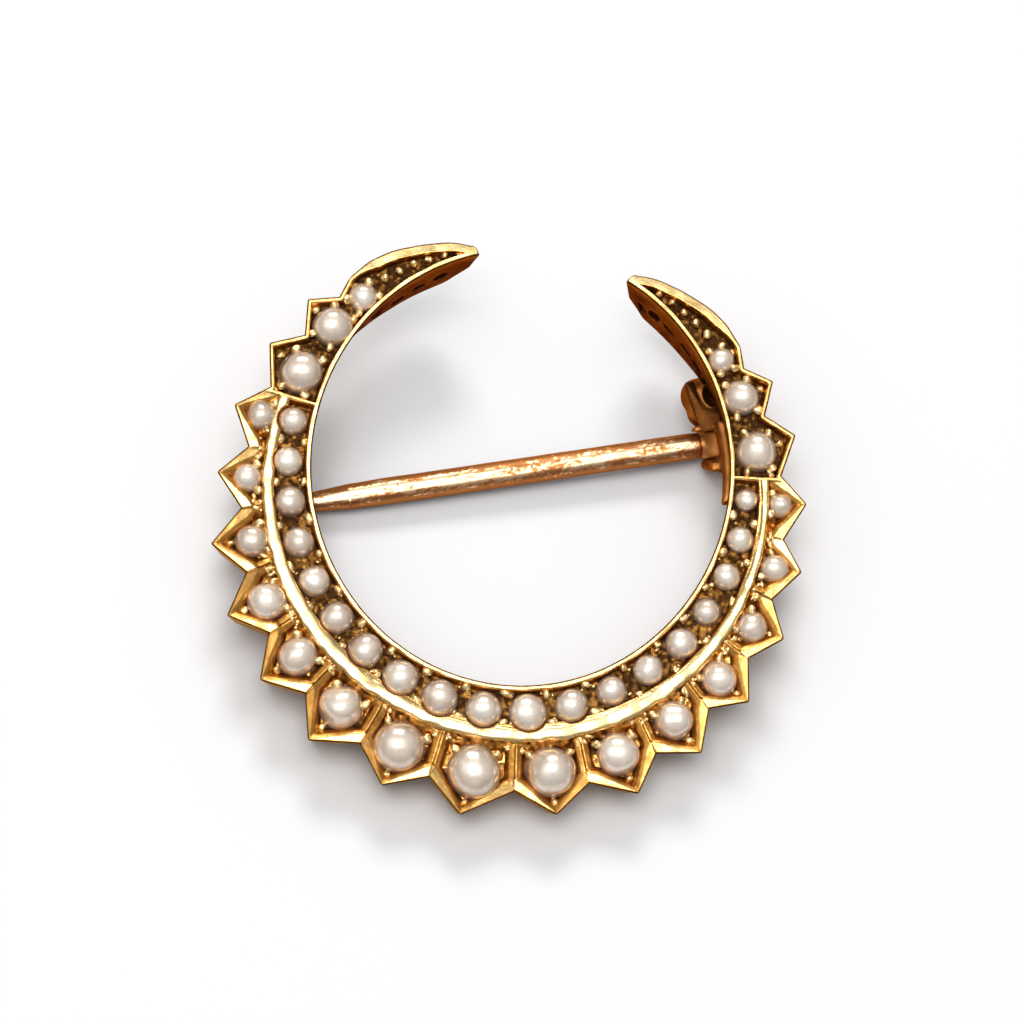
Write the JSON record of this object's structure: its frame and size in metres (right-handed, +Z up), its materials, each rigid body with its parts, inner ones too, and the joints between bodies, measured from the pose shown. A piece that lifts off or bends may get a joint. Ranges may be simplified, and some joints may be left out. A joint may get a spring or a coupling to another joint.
{
  "type": "crescent brooch",
  "caption": "Crescent brooch of gold with two rows of half pearls in pointed settings, plain horns and a hinged pin stem with a hook catch.",
  "frame": {"origin": "centre of the bounding box, on the surface that the brooch lies on", "axes": "+Z up from that surface, +Y towards the horns, +X towards the hinge side; the brooch lies on its back, its front face leaning towards -Y"},
  "size_m": [0.0272, 0.0265, 0.0067],
  "materials": {
    "gold": "worn polished gold, dark in the recesses",
    "rose_gold": "worn polished rose gold",
    "pearl": "pearl lustre"
  },
  "bodies": {
    "brooch": {"crescent": "gold", "hinge_rivet": "gold", "pearl_outer_01": "pearl", "pearl_outer_02": "pearl", "pearl_outer_03": "pearl", "pearl_outer_04": "pearl", "pearl_outer_05": "pearl", "pearl_outer_06": "pearl", "pearl_outer_07": "pearl", "pearl_outer_08": "pearl", "pearl_outer_09": "pearl", "pearl_outer_10": "pearl", "pearl_outer_11": "pearl", "pearl_outer_12": "pearl", "pearl_outer_13": "pearl", "pearl_outer_14": "pearl", "pearl_outer_15": "pearl", "pearl_inner_01": "pearl", "pearl_inner_02": "pearl", "pearl_inner_03": "pearl", "pearl_inner_04": "pearl", "pearl_inner_05": "pearl", "pearl_inner_06": "pearl", "pearl_inner_07": "pearl", "pearl_inner_08": "pearl", "pearl_inner_09": "pearl", "pearl_inner_10": "pearl", "pearl_inner_11": "pearl", "pearl_inner_12": "pearl", "pearl_inner_13": "pearl", "pearl_inner_14": "pearl", "pearl_inner_15": "pearl", "pearl_inner_16": "pearl", "pearl_inner_17": "pearl", "pearl_inner_18": "pearl", "pearl_inner_19": "pearl", "pearl_left_horn_1": "pearl", "pearl_left_horn_2": "pearl", "pearl_left_horn_3": "pearl", "pearl_right_horn_1": "pearl", "pearl_right_horn_2": "pearl", "pearl_right_horn_3": "pearl"},
    "pin": {"pin_stem": "rose_gold"}
  },
  "joints": [
    {"name": "pin_swing", "type": "hinge", "parent": "brooch", "child": "pin", "pos_m": [0.00924, 0.00733, 0.00128], "axis": [0.2955, -0.8578, -0.4206], "range_deg": [0, 100]}
  ]
}
